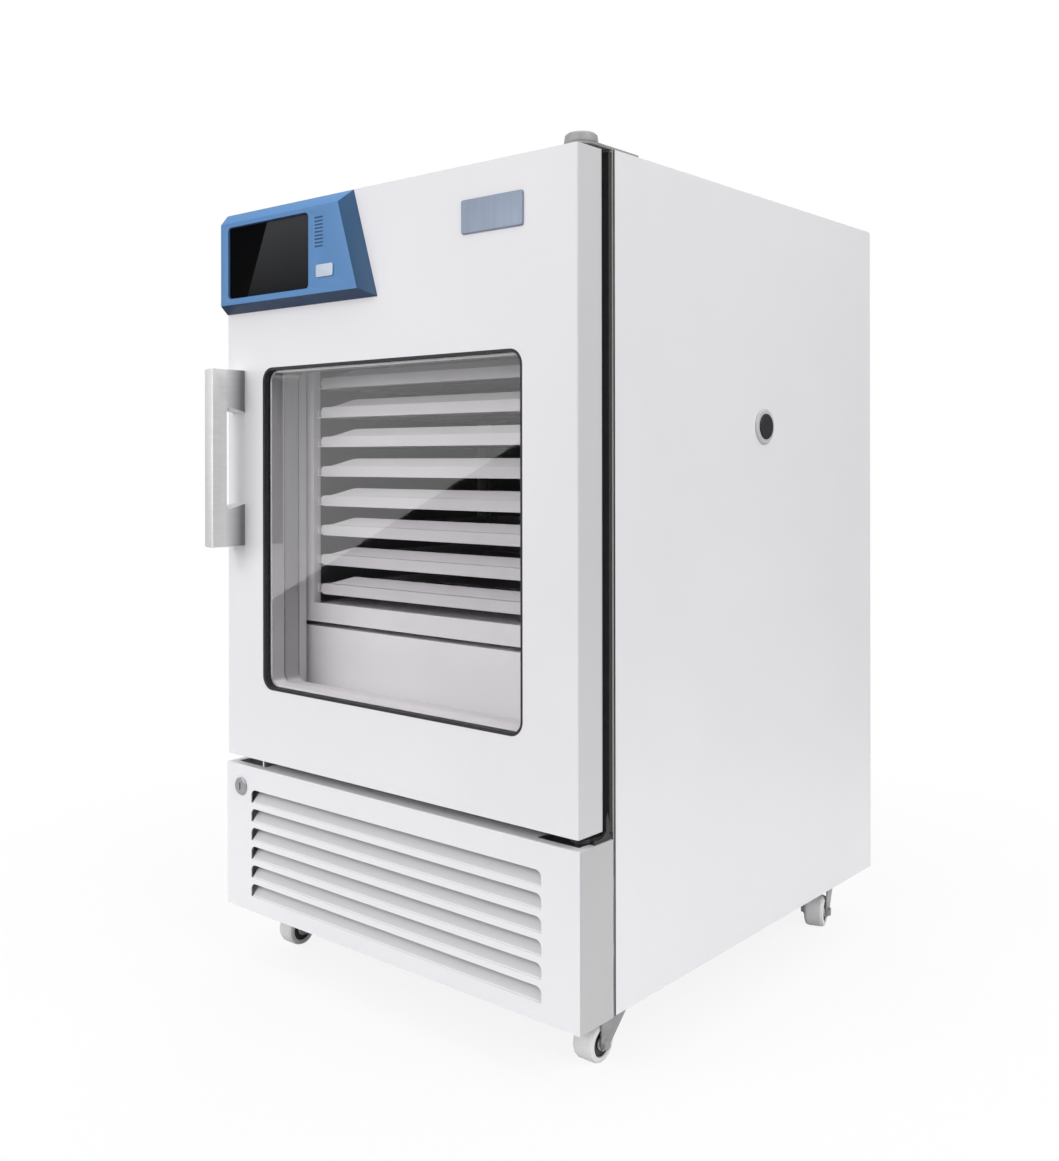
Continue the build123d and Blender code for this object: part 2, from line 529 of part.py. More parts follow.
def condenser():
    """Finned coil in a frame, its fan shroud behind it and the fan's motor."""
    z0, plate_z, shroud_t = BASE_TOP, BASE_TOP + 12, 2.0
    unit = box(COND_X0, COND_X1, COND_Y0, COND_Y1, plate_z, plate_z + COIL_T)
    unit += box(COND_X0, COND_X1, COND_Y0, COND_Y1, COND_Z1 - COIL_T, COND_Z1)
    pitch = (COND_X1 - COND_X0) / (FIN_N + 1)
    for k in range(1, FIN_N + 1):
        xk = COND_X0 + k * pitch
        unit += box(xk - FIN_T / 2, xk + FIN_T / 2, COND_Y0 + 2, COND_Y1, plate_z, COND_Z1 - COIL_T)
    for xa in (COND_X0, COND_X1 - COIL_T):
        unit += box(xa, xa + COIL_T, COND_Y0, COND_Y1, z0, COND_Z1)
    shroud = box(COND_X0, COND_X1, COND_Y1, COND_Y1 + shroud_t, z0, COND_Z1)
    shroud -= cyl_y(CFAN_X, COND_Y1 - 1, COND_Y1 + shroud_t + 1, CFAN_Z, CFAN_R + 3)
    reach = CFAN_R + 12
    mount = fan_mount(CFAN_X, CFAN_Z, COND_Y1 + shroud_t, CFAN_Y + CFAN_DEEP + 6, 26.0, 34.0,
                      reach, CFAN_Y + 2)
    return unit + shroud + mount


def fan(x, z, y0, r, blades, hub_r, depth):
    """Axial fan with pitched blades, bored for its motor shaft."""
    wheel = cyl_y(x, y0, y0 + depth, z, hub_r)
    for k in range(blades):
        blade = Box(r - hub_r + 3, 1.6, (r - hub_r) * 0.62)
        blade = Pos(hub_r - 2 + (r - hub_r) / 2, 0, 0) * Rot(28, 0, 0) * blade
        wheel += Pos(x, y0 + depth / 2, z) * Rot(0, 360 / blades * k, 0) * blade
    wheel = wheel & cyl_y(x, y0, y0 + depth, z, r)
    return wheel - cyl_y(x, y0 - 1, y0 + depth + 1, z, FAN_SHAFT_R + RUN)


def evaporator():
    """Finned coil whose end plates reach back to the liner."""
    x, y0, y1, z1 = EVAP_X, EVAP_Y0, EVAP_Y1, EVAP_Z1
    z0 = z1 - EVAP_H
    unit = box(-x, x, y0, y1, z0, z0 + COIL_T) + box(-x, x, y0, y1, z1 - COIL_T, z1)
    for k in range(1, FIN_N + 1):
        xk = -x + k * 2 * x / (FIN_N + 1)
        unit += box(xk - FIN_T / 2, xk + FIN_T / 2, y0 + 2, y1 - 2, z0, z1)
    for s in (1, -1):
        unit += side_box(s, x - COIL_T, x, y0, CH_Y1, z0, z1)
    return unit


def duct_cover():
    """False back of the chamber: return slots at the bottom, a grille before the fan at the top."""
    x, z0, z1, t = DUCT_X, CH_Z0, CH_Z1, SHEET
    rows, cols, land, row_pitch, slot_h = 2, 4, 20.0, 24.0, 10.0
    plate = box(-x, x, DUCT_Y, DUCT_Y + t, z0, z1)
    edge = 45.0
    pitch = (2 * (x - edge) + land) / cols
    for row in range(rows):
        for col in range(cols):
            xa, za = -x + edge + col * pitch, z0 + 30 + row * row_pitch
            plate -= box(xa, xa + pitch - land, DUCT_Y - 1, DUCT_Y + t + 1, za, za + slot_h)
    bars = 3
    for k in range(-bars, bars + 1):
        offset = k * EFAN_R / (bars + 0.6)
        half = math.sqrt((EFAN_R + 2) ** 2 - offset ** 2) - 3
        plate -= box(EFAN_X - half, EFAN_X + half, DUCT_Y - 1, DUCT_Y + t + 1,
                     EFAN_Z + offset - 4, EFAN_Z + offset + 4)
    for s in (1, -1):
        plate += side_box(s, x - t, x, DUCT_Y, CH_Y1, z0, z1)
    reach = EFAN_R + 12
    mount = fan_mount(EFAN_X, EFAN_Z, DUCT_Y + t, EFAN_Y + EFAN_DEEP + 8, 20.0, 28.0, reach,
                      EFAN_Y + 2)
    return plate + mount


def led_strip():
    """Lamp profile in the chamber's left front corner with a sunk face."""
    x0, x1 = -CH_X, -CH_X + LED_W
    y0, sink, rim = CAB_Y0 + 4.0, 2.0, 6.0
    z0, z1 = CH_Z0 + LED_END, CH_Z1 - LED_END
    body = box(x0, x1, y0, y0 + LED_D, z0, z1)
    return body - box(x0 + rim, x1 - rim, y0 - 1, y0 + sink, z0 + rim, z1 - rim)


def electronics_box():
    x0, x1, y0, y1, z0, z1 = EBOX_X0, EBOX_X0 + EBOX_L, EBOX_Y0, EBOX_Y1, BASE_TOP, BASE_TOP + EBOX_H
    case = box(x0, x1, y0, y1, z0, z1)
    case -= box(x0 + SHEET, x1 - SHEET, y0 + SHEET, y1 - SHEET, z0 + SHEET, z1 + 1)
    return case + box(x0 - 2, x1 + 2, y0 - 2, y1 + 2, z1, z1 + SHEET)


def power_inlet():
    """Mains inlet with a three-pin socket below and a rocker switch above it."""
    w, h = INLET_W, INLET_H
    face, rim = CAB_Y1 + INLET_PROJ, 3.0
    x0, x1, z0, z1 = INLET_X - w / 2, INLET_X + w / 2, INLET_Z - h / 2, INLET_Z + h / 2
    unit = box(x0, x1, INY - INLET_DEEP, CAB_Y1, z0, z1)
    unit += box(x0 - rim, x1 + rim, CAB_Y1, face, z0 - rim, z1 + rim)
    socket_z, socket_deep = z0 + 11, 18.0
    unit -= box(INLET_X - 12, INLET_X + 12, face - socket_deep, face + 1, socket_z - 8, socket_z + 8)
    for dx, dz in ((-7, -2), (0, 3), (7, -2)):
        unit += box(INLET_X + dx - 1, INLET_X + dx + 1, face - socket_deep - 1, face - 6,
                    socket_z + dz - 2, socket_z + dz + 2)
    rocker_z, sunk = z1 - 14, 3.0
    unit -= box(INLET_X - 10, INLET_X + 10, face - sunk, face + 1, rocker_z - 7, rocker_z + 7)
    rocker = [(face - sunk, rocker_z - 6), (face - 0.2, rocker_z - 6), (face - 1.8, rocker_z),
              (face, rocker_z + 6), (face - sunk, rocker_z + 6)]
    return unit + side_plate(rocker, INLET_X - 9, INLET_X + 9)


def port_sleeve():
    sleeve = cyl_x(CH_X - 1.5, CAB_X, PORT_Y, PORT_Z, PORT_R + PORT_WALL)
    flange = cyl_x(CAB_X, CAB_X + PORT_FLANGE_T, PORT_Y, PORT_Z, PORT_FLANGE_R)
    flange = chamfer(flange.edges().filter_by(GeomType.CIRCLE).sort_by(Axis.X)[-1], 1.5)
    return sleeve + flange - cyl_x(CH_X - 3, CAB_X + 5, PORT_Y, PORT_Z, PORT_R)


def port_plug():
    plug = cyl_x(CAB_X - PLUG_L, CAB_X + PORT_FLANGE_T + PLUG_OUT, PORT_Y, PORT_Z,
                 PORT_R - PLUG_CLEAR)
    return chamfer(plug.edges().filter_by(GeomType.CIRCLE).sort_by(Axis.X)[-1], 1.0)


# ---- door ----------------------------------------------------------------------------------
def hinge_bores(shape, r):
    for z0, z1 in ((DOOR_Z1 - BUSH_L, DOOR_Z1 + 1), (DOOR_Z0 - 1, DOOR_Z0 + BUSH_L)):
        shape -= cyl_z(HINGE_X, HINGE_Y, z0, z1, r)
    return shape


def window_hole(y0, y1):
    return round_rect(-WIN_X, WIN_X, WIN_Z0, WIN_Z1, WIN_R, y0, y1)


def window_inside(y0, y1):
    """The window within its rubber ring."""
    w = SEAL_W
    return round_rect(-WIN_X + w, WIN_X - w, WIN_Z0 + w, WIN_Z1 - w, WIN_R - w, y0, y1)


def door_skin():
    skin = box(-DX, DX, 0, DOOR_T - SHEET, DOOR_Z0, DOOR_Z1)
    skin = fillet(skin.edges().filter_by(Axis.Z).sort_by(Axis.Y)[:2], 2.5)
    inner = box(-DX + SHEET, DX - SHEET, SHEET, DOOR_T, DOOR_Z0 + SHEET, DOOR_Z1 - SHEET)
    return hinge_bores(skin - inner - window_hole(-1, SHEET + 1), BUSH_R)


def door_core():
    core = box(-DX + SHEET, DX - SHEET, SHEET, DOOR_T - SHEET, DOOR_Z0 + SHEET, DOOR_Z1 - SHEET)
    return hinge_bores(core - window_hole(0, DOOR_T), BUSH_R)


def door_inner_panel():
    """Inner face of the door with the raised rim that reaches into the chamber's mouth."""
    rise = DIKE_RISE
    panel = box(-DX, DX, DOOR_T - SHEET, DOOR_T, DOOR_Z0, DOOR_Z1)
    panel += round_rect(-DIKE_X, DIKE_X, WIN_Z0 - rise, WIN_Z1 + rise, 12.0, DOOR_T, DIKE_Y1)
    panel += window_hole(GLASS2_Y + GLASS_T, DOOR_T - SHEET)
    return panel - window_inside(GLASS2_Y, DIKE_Y1 + 1)


def window_seal():
    return ring_rect(WIN_X, WIN_Z0, WIN_Z1, WIN_R, SEAL_W, SEAL_SET, GLASS_Y + GLASS_T)


def glass_spacer():
    return ring_rect(WIN_X, WIN_Z0, WIN_Z1, WIN_R, SPACER_W, GLASS_Y + GLASS_T, GLASS2_Y)


def window_glass():
    return [window_inside(GLASS_Y, GLASS_Y + GLASS_T), window_hole(GLASS2_Y, GLASS2_Y + GLASS_T)]


def door_gasket():
    x0, x1 = GASKET_X0, GASKET_X0 + GASKET_W
    z0, z1 = DOOR_Z0 + GASKET_W, DOOR_Z1 - GASKET_W
    y0, y1 = DOOR_T, FRAME_Y0 - NEAR
    ring = box(-x1, x1, y0, y1, z0, z1)
    return ring - box(-x0, x0, y0 - 1, y1 + 1, z0 + GASKET_W, z1 - GASKET_W)


def hinge_bushings():
    out = []
    for z0, z1 in ((DOOR_Z1 - BUSH_L, DOOR_Z1), (DOOR_Z0, DOOR_Z0 + BUSH_L)):
        bush = cyl_z(HINGE_X, HINGE_Y, z0, z1, BUSH_R)
        out.append(bush - cyl_z(HINGE_X, HINGE_Y, z0 - 1, z1 + 1, PIN_R + RUN))
    return out


def handle():
    """Bow handle: crowned bar with a ridge along its right edge, on two feet."""
    x0, x1 = HANDLE_X0, HANDLE_X0 + HANDLE_W
    z0, z1 = HANDLE_Z0, HANDLE_Z0 + HANDLE_H
    ridge, fall = -HANDLE_PROJ, 8.0
    crown = ThreePointArc((x1, ridge, z0), ((x0 + x1) / 2, ridge + 0.3 * fall, z0),
                          (x0, ridge + fall, z0))
    rest = Polyline((x0, ridge + fall, z0), (x0, 0, z0), (x1, 0, z0), (x1, ridge, z0))
    bar = extrude(make_face([crown, rest]), amount=HANDLE_H, dir=(0, 0, 1))
    ya, slant = ridge + GRIP_T, 8.0
    gap = side_plate([(ya, z0 + FOOT_H - slant), (1, z0 + FOOT_H), (1, z1 - FOOT_H),
                      (ya, z1 - FOOT_H + slant)], x0 - 1, x1 + 1)
    return bar - fillet(gap.edges().filter_by(Axis.X).sort_by(Axis.Y)[:2], GRIP_R)


def prism_between(back, front, y_back, y_front):
    """Straight-sided solid between two four-cornered outlines in the front view."""
    lo = make_face(Polyline([(x, y_back, z) for x, z in back], close=True))
    hi = make_face(Polyline([(x, y_front, z) for x, z in front], close=True))
    return loft([lo, hi], ruled=True)


def slanted(left, bottom, top, right_top, right_bottom):
    """Outline of the housing in the front view, drawn in from its edges by the given amounts."""
    x0, z0, z1 = HOUS_X0 + left, HOUS_Z0 + bottom, HOUS_Z1 - top
    return [(x0, z0), (HOUS_X0 + HOUS_BOTTOM_W - right_bottom, z0),
            (HOUS_X0 + HOUS_TOP_W - right_top, z1), (x0, z1)]


def control_housing():
    """Bevelled shell with the screen's opening, three groups of grooves and the port's hole."""
    w, wider, front = HOUS_WALL, HOUS_WALL + 1.5, -HOUS_D
    bevels = (BEVEL_L, BEVEL_B, BEVEL_T, BEVEL_TR, BEVEL_BR)
    shell = prism_between(slanted(0, 0, 0, 0, 0), slanted(*bevels), 0, front)
    shell -= prism_between(slanted(w, w, w, wider, wider + 1), slanted(*[b + w for b in bevels]),
                           0, front + w)
    x1, z1 = SCR_X0 + SCR_W, SCR_Z0 + SCR_H
    shell -= round_rect(SCR_X0, x1, SCR_Z0, z1, SCR_R, front - 1, front + w + 1)
    on_face = shell.edges().filter_by_position(Axis.Y, front - RUN, front + RUN)
    rim = on_face.filter_by_position(Axis.X, SCR_X0 - 1, x1 + 1)
    rim = rim.filter_by_position(Axis.Z, SCR_Z0 - 1, z1 + 1)
    shell = chamfer(rim, SCR_RIM)
    for group in range(3):
        for row in range(3):
            z = MARK_Z - group * MARK_GROUP - row * MARK_PITCH
            shell -= box(MARK_X0, MARK_X0 + MARK_W, front - 1, front + MARK_DEEP,
                         z - MARK_H / 2, z + MARK_H / 2)
    hole_x0, hole_z0 = FLAP_X0 + FLAP_SEAT, FLAP_Z0 + FLAP_SEAT
    return shell - box(hole_x0, hole_x0 + FLAP_W - 2 * FLAP_SEAT, front - 1, front + w + 1,
                       hole_z0, hole_z0 + FLAP_H - 2 * FLAP_SEAT)


def display_screen():
    """Glass front, display module and circuit board, stacked behind the housing's opening."""
    y0, m, glass_t, module_t, board_t = -HOUS_D + HOUS_WALL, 1.0, 2.0, 6.0, 1.6
    x1, z1 = SCR_X0 + SCR_W, SCR_Z0 + SCR_H
    board_x1, board_z1 = FLAP_X0 + FLAP_W - 6.0, z1 - 4.0
    module_y, board_y = y0 + glass_t, y0 + glass_t + module_t
    unit = box(SCR_X0 - m, x1 + m, y0, module_y, SCR_Z0 - m, z1 + m)
    unit += box(SCR_X0 + 2, x1 - 2, module_y, board_y, SCR_Z0 + 2, z1 - 2)
    unit += box(SCR_X0 - 5, board_x1, board_y, board_y + board_t, SCR_Z0 + m, board_z1)
    socket_x0, socket_z0 = FLAP_X0 + FLAP_SEAT + 3, FLAP_Z0 + FLAP_SEAT + 2
    unit += box(socket_x0, socket_x0 + 14, y0 - 1, board_y, socket_z0, socket_z0 + 5)
    foot, foot_y = 8.0, board_y + board_t
    for x in (SCR_X0 + 4, board_x1 - foot - 4):
        for z in (SCR_Z0 + 6, board_z1 - foot - 6):
            unit += box(x, x + foot, foot_y, 0, z, z + foot)
    return unit


def port_flap():
    return round_rect(FLAP_X0, FLAP_X0 + FLAP_W, FLAP_Z0, FLAP_Z0 + FLAP_H, 2.5,
                      -HOUS_D - NEAR - FLAP_T, -HOUS_D - NEAR)


def badge_plate():
    plate = round_rect(BADGE_X1 - BADGE_W, BADGE_X1, BADGE_Z0, BADGE_Z0 + BADGE_H, 3.0, -BADGE_T, 0)
    front = plate.faces().sort_by(Axis.Y)[0]
    return chamfer(front.edges(), 0.8)


# ---- agitator ------------------------------------------------------------------------------
def agitator_base():
    x, y0, y1, z0, z1, t = AG_X, AG_Y0, AG_Y1, AG_Z0, AG_Z1, SHEET
    top = box(-x, x, y0, y1, z1 - t, z1) - cyl_z(CRANK_X, CRANK_Y, z1 - 5, z1 + 5, SHAFT_R + 4)
    front = box(-x, x, y0, y0 + t, z0, z1 - t)
    back = box(-x, x, y1 - t, y1, z0, z1 - t)
    floor = box(-x + t, x - t, y0 + t, y1 - t, z0, z0 + BASE_T)
    sides = [side_box(s, x - t, x, y0 + t, y1 - t, z0, z1 - t) for s in (1, -1)]
    return [top, front, back, floor] + sides


def agitator_feet():
    inset = 40.0
    return [cyl_z(s * (AG_X - inset), y, CH_Z0, AG_Z0, AG_FOOT_R)
            for s in (1, -1) for y in (AG_Y0 + inset, AG_Y1 - inset)]


def guide_rods():
    """Two rods across the agitator's top, each held by a block at both ends."""
    out, end, half = [], AG_X - 3.0, 12.0
    for y in ROD_YS:
        rod = cyl_x(-end, end, y, ROD_Z, ROD_R)
        for s in (1, -1):
            rod += side_box(s, end - ROD_BLOCK, end, y - half, y + half, AG_Z1, ROD_Z + 9)
        out.append(rod)
    return out


def agitator_motor():
    """Gear motor under the agitator's top with its shaft through the top."""
    top, half, gear_h, motor_l = AG_Z1 - SHEET, 36.0, 28.0, 64.0
    gearbox = box(CRANK_X - half, CRANK_X + half, CRANK_Y - half, CRANK_Y + half, top - gear_h, top)
    motor = cyl_z(CRANK_X, CRANK_Y, top - gear_h - motor_l, top - gear_h, 30.0)
    shaft = cyl_z(CRANK_X, CRANK_Y, top, CRANK_Z0 + CRANK_T - 0.5, SHAFT_R)
    return gearbox + motor + shaft


CRANK_PIN = (CRANK_X, CRANK_Y - STROKE)
ROD_END = (CRANK_X + math.sqrt(ROD_L ** 2 - STROKE ** 2), CRANK_Y)
LINK_Z0 = CRANK_Z0 + CRANK_T + NEAR
LINK_Z1 = LINK_Z0 + ROD_T


def crank_disc():
    disc = cyl_z(CRANK_X, CRANK_Y, CRANK_Z0, CRANK_Z0 + CRANK_T, CRANK_R)
    disc += cyl_z(*CRANK_PIN, CRANK_Z0 + CRANK_T, LINK_Z1 + 1, CRANK_PIN_R)
    return disc - cyl_z(CRANK_X, CRANK_Y, CRANK_Z0 - 1, CRANK_Z0 + CRANK_T + 1, SHAFT_R + RUN)


def connecting_rod():
    """Flat bar with an eye at the crank pin and one below the carriage's boss."""
    angle = math.degrees(math.asin(STROKE / ROD_L))
    mid = ((CRANK_PIN[0] + ROD_END[0]) / 2, (CRANK_PIN[1] + ROD_END[1]) / 2)
    bar = Pos(mid[0], mid[1], (LINK_Z0 + LINK_Z1) / 2) * Rot(0, 0, angle) * Box(ROD_L, 9.0, ROD_T)
    for x, y in (CRANK_PIN, ROD_END):
        bar += cyl_z(x, y, LINK_Z0, LINK_Z1, ROD_EYE)
    for x, y in (CRANK_PIN, ROD_END):
        bar -= cyl_z(x, y, LINK_Z0 - 1, LINK_Z1 + 1, CRANK_PIN_R + RUN)
    return bar


def carriage_base():
    """Plate with a front and a rear skirt, and the boss above the connecting rod's eye."""
    plate = box(-CAR_X, CAR_X, CAR_Y0, CAR_Y1, CAR_Z0, CAR_Z0 + CAR_T)
    front = box(-CAR_X, CAR_X, CAR_Y0, CAR_Y0 + CAR_T, SKIRT_Z0, SKIRT_Z1)
    rear = box(-CAR_X, CAR_X, CAR_Y1 - CAR_T, CAR_Y1, SKIRT_Z0, SKIRT_Z1)
    return plate + front + rear + cyl_z(*ROD_END, LINK_Z1 + BOSS_GAP, CAR_Z0, ROD_EYE)


def tray_z(k):
    return TRAY_Z0 + k * TRAY_PITCH


def carriage_frame():
    """Four posts, a top plate and two rows of angled runners for the trays."""
    z0, z1, xi = CAR_Z0 + CAR_T, CAR_Z1, CAR_X - POST_W
    runner_in = PAN_X - RUNNER_LAP
    out = [box(-CAR_X, CAR_X, CAR_Y0, CAR_Y1, z1, z1 + CAR_T)]
    for s in (1, -1):
        out.append(side_box(s, xi, CAR_X, CAR_Y0 + CAR_T, CAR_Y0 + POST_D, z0, z1))
        out.append(side_box(s, xi, CAR_X, CAR_Y0, CAR_Y0 + CAR_T, SKIRT_Z1, z1))
        out.append(side_box(s, xi, CAR_X, CAR_Y1 - POST_D, CAR_Y1 - CAR_T, z0, z1))
        out.append(side_box(s, xi, CAR_X, CAR_Y1 - CAR_T, CAR_Y1, SKIRT_Z1, z1))
        for k in range(TRAY_N):
            zt = tray_z(k) - PAN_DROP - TRAY_REST
            y0, y1 = CAR_Y0 + 8, CAR_Y1 - 4
            shelf = side_box(s, runner_in, xi, y0, y1, zt - RUNNER_T, zt)
            out.append(shelf + side_box(s, xi - RUNNER_T, xi, y0, y1, zt, zt + RUNNER_H))
    return out


def linear_bearings():
    """Bored blocks under the carriage plate that slide on the guide rods."""
    out = []
    for y in ROD_YS:
        for s in (1, -1):
            block = box(s * BRG_X - BRG_L / 2, s * BRG_X + BRG_L / 2, y - BRG_W / 2, y + BRG_W / 2,
                        AG_Z1 + 3, CAR_Z0)
            out.append(block - cyl_x(s * BRG_X - BRG_L, s * BRG_X + BRG_L, y, ROD_Z, ROD_R + RUN))
    return out


def tray(k):
    """Sliding tray: front rail with a sloping lip above it, and a vented pan with low walls."""
    z = tray_z(k)
    rail = round_rect(-RAIL_X, RAIL_X, z - RAIL_H / 2, z + RAIL_H / 2, RAIL_R, RAIL_Y0, RAIL_Y1)
    z0, pan_y0 = z - PAN_DROP, RAIL_Y1 - 1
    floor = box(-PAN_X, PAN_X, pan_y0, PAN_Y1, z0, z0 + PAN_T)
    pitch_x = (2 * (PAN_X - VENT_EDGE) + VENT_EDGE) / VENT_COLS
    pitch_y = (PAN_Y1 - pan_y0 - VENT_EDGE) / VENT_ROWS
    for col in range(VENT_COLS):
        for row in range(VENT_ROWS):
            xa, ya = -PAN_X + VENT_EDGE + col * pitch_x, pan_y0 + VENT_EDGE + (row + 0.3) * pitch_y
            floor -= box(xa, xa + pitch_x - VENT_EDGE, ya, ya + VENT_L, z0 - 1, z0 + PAN_T + 1)
    shape = rail + floor
    for s in (1, -1):
        shape += side_box(s, PAN_X - PAN_T, PAN_X, pan_y0, PAN_Y1, z0, z0 + PAN_H)
    shape += box(-PAN_X, PAN_X, PAN_Y1 - PAN_T, PAN_Y1, z0, z0 + PAN_H)
    ya, za = RAIL_Y1 - 1.5, z + RAIL_H / 2 - 1.0
    yb, zb = ya + LIP_RUN, za + LIP_RISE + 1.0
    lip = side_plate([(ya, za), (yb, zb), (yb + 1.2, zb - 0.8), (ya + 1.2, za - 0.8)], -RAIL_X, RAIL_X)
    outline = front_plate([(-RAIL_X + 5, za - 3), (RAIL_X - 5, za - 3), (RAIL_X - 5, za),
                           (RAIL_X - LIP_CUT, zb + 0.5), (-RAIL_X + LIP_CUT, zb + 0.5),
                           (-RAIL_X + 5, za)], ya - 5, yb + 5)
    return shape + (lip & outline)


PARTS = {
    "outer_shell": outer_shell, "rear_panel": rear_panel, "inner_liner": inner_liner,
    "insulation_foam": insulation_foam, "front_frame": front_frame, "chassis": chassis,
    "louvre_panel": louvre_panel, "lock_cylinder": lock_cylinder, "top_hinge": top_hinge,
    "bottom_hinge": bottom_hinge, "caster_plates": caster_plates, "compressor": compressor,
    "condenser": condenser, "evaporator": evaporator, "duct_cover": duct_cover,
    "led_strip": led_strip, "electronics_box": electronics_box, "power_inlet": power_inlet,
    "port_sleeve": port_sleeve, "port_plug": port_plug, "door_skin": door_skin,
    "door_core": door_core, "door_inner_panel": door_inner_panel, "window_seal": window_seal,
    "glass_spacer": glass_spacer, "window_glass": window_glass, "door_gasket": door_gasket,
    "hinge_bushings": hinge_bushings, "handle": handle, "control_housing": control_housing,
    "display_screen": display_screen, "port_flap": port_flap, "badge_plate": badge_plate,
    "agitator_base": agitator_base, "agitator_feet": agitator_feet, "guide_rods": guide_rods,
    "agitator_motor": agitator_motor, "crank_disc": crank_disc, "connecting_rod": connecting_rod,
    "carriage_base": carriage_base, "carriage_frame": carriage_frame,
    "linear_bearings": linear_bearings,
}

for name, make in PARTS.items():
    save(name, make())
save("condenser_fan", fan(CFAN_X, CFAN_Z, CFAN_Y, CFAN_R, CFAN_BLADES, CFAN_HUB, CFAN_DEEP))
save("circulation_fan", fan(EFAN_X, EFAN_Z, EFAN_Y, EFAN_R, EFAN_BLADES, EFAN_HUB, EFAN_DEEP))
for k in range(TRAY_N):
    save("tray_%d" % (k + 1), tray(TRAY_N - 1 - k))
for place, side, row, turn in CASTERS:
    save("fork_" + place, turned_caster(caster_fork(), side, row, turn))
    save("wheel_" + place, turned_caster(caster_wheel(), side, row, turn))
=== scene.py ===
import bpy
import bmesh
import json
import math
from mathutils import Matrix, Vector


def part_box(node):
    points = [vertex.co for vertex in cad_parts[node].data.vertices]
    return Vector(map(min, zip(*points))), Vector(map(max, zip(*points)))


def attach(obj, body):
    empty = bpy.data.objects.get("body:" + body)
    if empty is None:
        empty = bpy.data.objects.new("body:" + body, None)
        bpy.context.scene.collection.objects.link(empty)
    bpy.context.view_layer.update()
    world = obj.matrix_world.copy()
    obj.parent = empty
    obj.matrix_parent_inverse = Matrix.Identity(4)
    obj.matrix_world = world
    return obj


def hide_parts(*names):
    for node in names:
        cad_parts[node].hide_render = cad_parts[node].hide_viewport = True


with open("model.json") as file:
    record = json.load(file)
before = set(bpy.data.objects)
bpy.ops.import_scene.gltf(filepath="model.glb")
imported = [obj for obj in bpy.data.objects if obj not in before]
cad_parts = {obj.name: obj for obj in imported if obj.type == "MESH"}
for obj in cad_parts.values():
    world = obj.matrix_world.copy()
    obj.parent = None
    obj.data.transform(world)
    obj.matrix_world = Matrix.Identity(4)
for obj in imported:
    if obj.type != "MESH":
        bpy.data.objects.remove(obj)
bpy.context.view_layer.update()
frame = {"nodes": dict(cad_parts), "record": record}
NODES = frame["nodes"]
BODY_OF = {node: body for body, nodes in frame["record"]["behaviour"]["bodies"].items() for node in nodes}
MM = 0.001
DOOR_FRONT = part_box("door_skin")[0].y               # the door's front face
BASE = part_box("louvre_panel")[0].z / MM             # floor to the lower panel's bottom edge, in mm


def pt(x, y, z):
    """Millimetres, with y counted backwards from the door's front face, to metres in the row frame."""
    return Vector((x * MM, DOOR_FRONT + y * MM, z * MM))


# ---- node helpers --------------------------------------------------------------------------
def node_of(tree, kind):
    return next(n for n in tree.nodes if n.type == kind)


def new_material(name):
    mat = bpy.data.materials.new(name)
    mat.use_nodes = True
    tree = mat.node_tree
    return mat, tree, node_of(tree, "BSDF_PRINCIPLED")


def noise(tree, scale, stretch=(1, 1, 1), detail=2.0):
    """Noise in the object's own coordinates, so that it stays with a moving piece."""
    coord = tree.nodes.new("ShaderNodeTexCoord")
    mapping = tree.nodes.new("ShaderNodeMapping")
    mapping.inputs["Scale"].default_value = stretch
    tex = tree.nodes.new("ShaderNodeTexNoise")
    tex.inputs["Scale"].default_value = scale
    tex.inputs["Detail"].default_value = detail
    tree.links.new(coord.outputs["Object"], mapping.inputs["Vector"])
    tree.links.new(mapping.outputs["Vector"], tex.inputs["Vector"])
    return tex


def ramp(tree, source, low, high, start=0.3, end=0.7):
    node = tree.nodes.new("ShaderNodeValToRGB")
    node.color_ramp.elements[0].position = start
    node.color_ramp.elements[1].position = end
    node.color_ramp.elements[0].color = (*low, 1.0)
    node.color_ramp.elements[1].color = (*high, 1.0)
    tree.links.new(source, node.inputs["Fac"])
    return node


def base_color_of(mat):
    tree = mat.node_tree
    shader = node_of(tree, "BSDF_PRINCIPLED")
    return tree, shader, shader.inputs["Base Color"].links[0].from_socket


def object_axis(tree, output, axis):
    """One component of a texture coordinate: the object's own place or normal, or the sky's heading."""
    coord = tree.nodes.new("ShaderNodeTexCoord")
    split = tree.nodes.new("ShaderNodeSeparateXYZ")
    tree.links.new(coord.outputs[output], split.inputs["Vector"])
    return split.outputs[axis]


def span(tree, source, start, end, low=0.0, high=1.0):
    node = tree.nodes.new("ShaderNodeMapRange")
    node.inputs["From Min"].default_value = start
    node.inputs["From Max"].default_value = end
    node.inputs["To Min"].default_value = low
    node.inputs["To Max"].default_value = high
    tree.links.new(source, node.inputs["Value"])
    return node.outputs["Result"]


def math_node(tree, operation, *sources):
    node = tree.nodes.new("ShaderNodeMath")
    node.operation = operation
    for socket, source in zip(node.inputs, sources):
        tree.links.new(source, socket)
    return node.outputs["Value"]


def times(tree, a, b):
    return math_node(tree, "MULTIPLY", a, b)


def vector_math(tree, operation, source, other=None):
    """The node, with a fixed second vector where one is given."""
    node = tree.nodes.new("ShaderNodeVectorMath")
    node.operation = operation
    tree.links.new(source, node.inputs[0])
    if other is not None:
        node.inputs[1].default_value = other
    return node


def color_over(tree, shader, source, factor, color, blend="MIX"):
    """Lay a fixed colour over the base colour where the factor is 1."""
    mix = tree.nodes.new("ShaderNodeMix")
    mix.data_type = "RGBA"
    mix.blend_type = blend
    tree.links.new(factor, mix.inputs["Factor"])
    tree.links.new(source, mix.inputs["A"])
    mix.inputs["B"].default_value = (*color, 1.0)
    tree.links.new(mix.outputs["Result"], shader.inputs["Base Color"])


